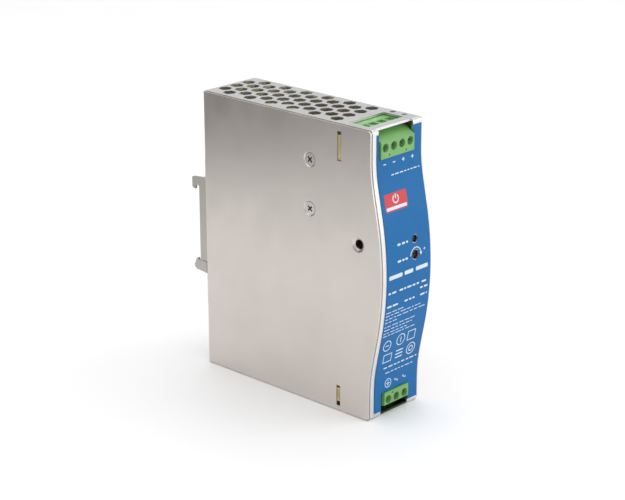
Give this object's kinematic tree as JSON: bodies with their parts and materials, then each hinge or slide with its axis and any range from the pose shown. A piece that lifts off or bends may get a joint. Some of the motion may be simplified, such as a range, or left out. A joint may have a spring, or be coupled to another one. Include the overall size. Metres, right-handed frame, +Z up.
{
  "type": "rail-mounted power supply",
  "caption": "Slim metal-cased power supply that clips onto a 35 mm rail, with screw terminals at the top and bottom of a bulged front and a sprung latch behind.",
  "frame": {"origin": "centre of the bounding box, at the bottom edge of the case", "axes": "+X to the right seen from the front, +Y from the front panel to the rail at the back, +Z up"},
  "size_m": [0.032, 0.112, 0.1252],
  "materials": {
    "case_steel": "satin sheet steel with a fine grain",
    "label_film": "satin printed film",
    "screw_steel": "bright zinc plated",
    "clip_steel": "zinc plated sheet",
    "rivet_steel": "satin",
    "spring_steel": "drawn wire",
    "terminal_green": "moulded, slightly glossy",
    "contact_brass": "tinned brass",
    "clamp_nickel": "nickel plated",
    "board_fr4": "bare glass-epoxy board",
    "board_main": "glass fibre board, clear mask",
    "standoff_steel": "turned",
    "fish_paper": "insulating sheet",
    "trimmer_blue": "moulded",
    "trimmer_cream": "moulded",
    "led_lens": "frosted lens",
    "fuse_ceramic": "ceramic with plated caps",
    "thermistor_coat": "dipped coating",
    "varistor_coat": "dipped coating",
    "capacitor_yellow": "moulded box",
    "ceramic_blue": "dipped coating",
    "choke_core": "coated ferrite",
    "copper_wire": "enamelled copper",
    "moulded_black": "moulded epoxy",
    "can_sleeve": "shrink sleeve with an aluminium top",
    "heatsink_alu": "extruded",
    "ferrite": "sintered",
    "bobbin_cream": "moulded",
    "tape_yellow": "polyester tape",
    "can_green": "shrink sleeve with an aluminium top",
    "powder_core": "painted iron powder",
    "coupler_white": "moulded"
  },
  "bodies": {
    "case": {"rear_shell": "case_steel", "front_shell": "case_steel", "front_label": "label_film", "cover_screws": "screw_steel", "rail_bracket": "clip_steel", "bracket_rivets": "rivet_steel", "latch_guide_rivets": "rivet_steel", "latch_spring": "spring_steel", "output_terminal_block": "terminal_green", "input_terminal_block": "terminal_green", "output_terminal_bars": "contact_brass", "input_terminal_bars": "contact_brass", "output_board": "board_fr4", "input_board": "board_fr4", "main_board": "board_main", "board_standoffs": "standoff_steel", "board_screws": "screw_steel", "insulation_sheet": "fish_paper", "trimmer_body": "trimmer_blue", "status_led": "led_lens", "fuse": "fuse_ceramic", "inrush_thermistor": "thermistor_coat", "varistor": "varistor_coat", "x_capacitor": "capacitor_yellow", "y_capacitors": "ceramic_blue", "line_choke_core": "choke_core", "line_choke_windings": "copper_wire", "bridge_rectifier": "moulded_black", "bulk_capacitor": "can_sleeve", "switch_heatsink": "heatsink_alu", "switch_transistor": "moulded_black", "transformer_core": "ferrite", "transformer_bobbin": "bobbin_cream", "transformer_winding": "tape_yellow", "secondary_heatsink": "heatsink_alu", "output_rectifier": "moulded_black", "output_capacitors": "can_green", "output_choke_core": "powder_core", "output_choke_winding": "copper_wire", "optocouplers": "coupler_white", "control_chip": "moulded_black", "device_screws": "screw_steel"},
    "latch": {"latch_slider": "clip_steel"},
    "trimmer": {"trimmer_rotor": "trimmer_cream"},
    "output_screw_1": {"output_screw_1": "screw_steel"},
    "output_screw_2": {"output_screw_2": "screw_steel"},
    "output_screw_3": {"output_screw_3": "screw_steel"},
    "output_screw_4": {"output_screw_4": "screw_steel"},
    "input_screw_1": {"input_screw_1": "screw_steel"},
    "input_screw_2": {"input_screw_2": "screw_steel"},
    "input_screw_3": {"input_screw_3": "screw_steel"},
    "output_clamp_1": {"output_clamp_1": "clamp_nickel"},
    "output_clamp_2": {"output_clamp_2": "clamp_nickel"},
    "output_clamp_3": {"output_clamp_3": "clamp_nickel"},
    "output_clamp_4": {"output_clamp_4": "clamp_nickel"},
    "input_clamp_1": {"input_clamp_1": "clamp_nickel"},
    "input_clamp_2": {"input_clamp_2": "clamp_nickel"},
    "input_clamp_3": {"input_clamp_3": "clamp_nickel"}
  },
  "joints": [
    {"name": "latch_slide", "type": "slide", "parent": "case", "child": "latch", "axis": [0, 0, -1], "range_m": [0, 0.004], "stiffness_N_per_m": 2500, "springref_m": -0.004, "deforming": ["latch_spring"]},
    {"name": "trimmer_turn", "type": "hinge", "parent": "case", "child": "trimmer", "pos_m": [0.0055, -0.05245, 0.0698], "axis": [0, 1, 0], "range_deg": [-130, 130]},
    {"name": "output_screw_1_turn", "type": "hinge", "parent": "case", "child": "output_screw_1", "pos_m": [-0.00822, -0.04795, 0.117], "axis": [0, 1, 0], "range_deg": [0, 1800]},
    {"name": "output_clamp_1_slide", "type": "slide", "parent": "case", "child": "output_clamp_1", "axis": [0, -1, 0], "range_m": [0, 0.0025]},
    {"name": "output_screw_2_turn", "type": "hinge", "parent": "case", "child": "output_screw_2", "pos_m": [-0.00314, -0.04795, 0.117], "axis": [0, 1, 0], "range_deg": [0, 1800]},
    {"name": "output_clamp_2_slide", "type": "slide", "parent": "case", "child": "output_clamp_2", "axis": [0, -1, 0], "range_m": [0, 0.0025]},
    {"name": "output_screw_3_turn", "type": "hinge", "parent": "case", "child": "output_screw_3", "pos_m": [0.00194, -0.04795, 0.117], "axis": [0, 1, 0], "range_deg": [0, 1800]},
    {"name": "output_clamp_3_slide", "type": "slide", "parent": "case", "child": "output_clamp_3", "axis": [0, -1, 0], "range_m": [0, 0.0025]},
    {"name": "output_screw_4_turn", "type": "hinge", "parent": "case", "child": "output_screw_4", "pos_m": [0.00702, -0.04795, 0.117], "axis": [0, 1, 0], "range_deg": [0, 1800]},
    {"name": "output_clamp_4_slide", "type": "slide", "parent": "case", "child": "output_clamp_4", "axis": [0, -1, 0], "range_m": [0, 0.0025]},
    {"name": "input_screw_1_turn", "type": "hinge", "parent": "case", "child": "input_screw_1", "pos_m": [-0.00438, -0.04795, 0.0068], "axis": [0, 1, 0], "range_deg": [0, 1800]},
    {"name": "input_clamp_1_slide", "type": "slide", "parent": "case", "child": "input_clamp_1", "axis": [0, -1, 0], "range_m": [0, 0.0025]},
    {"name": "input_screw_2_turn", "type": "hinge", "parent": "case", "child": "input_screw_2", "pos_m": [0.0007, -0.04795, 0.0068], "axis": [0, 1, 0], "range_deg": [0, 1800]},
    {"name": "input_clamp_2_slide", "type": "slide", "parent": "case", "child": "input_clamp_2", "axis": [0, -1, 0], "range_m": [0, 0.0025]},
    {"name": "input_screw_3_turn", "type": "hinge", "parent": "case", "child": "input_screw_3", "pos_m": [0.00578, -0.04795, 0.0068], "axis": [0, 1, 0], "range_deg": [0, 1800]},
    {"name": "input_clamp_3_slide", "type": "slide", "parent": "case", "child": "input_clamp_3", "axis": [0, -1, 0], "range_m": [0, 0.0025]}
  ],
  "couplings": [
    {"joint": "output_screw_1_turn", "follows": "output_clamp_1_slide", "rad_per_m": 12566},
    {"joint": "output_screw_2_turn", "follows": "output_clamp_2_slide", "rad_per_m": 12566},
    {"joint": "output_screw_3_turn", "follows": "output_clamp_3_slide", "rad_per_m": 12566},
    {"joint": "output_screw_4_turn", "follows": "output_clamp_4_slide", "rad_per_m": 12566},
    {"joint": "input_screw_1_turn", "follows": "input_clamp_1_slide", "rad_per_m": 12566},
    {"joint": "input_screw_2_turn", "follows": "input_clamp_2_slide", "rad_per_m": 12566},
    {"joint": "input_screw_3_turn", "follows": "input_clamp_3_slide", "rad_per_m": 12566}
  ]
}
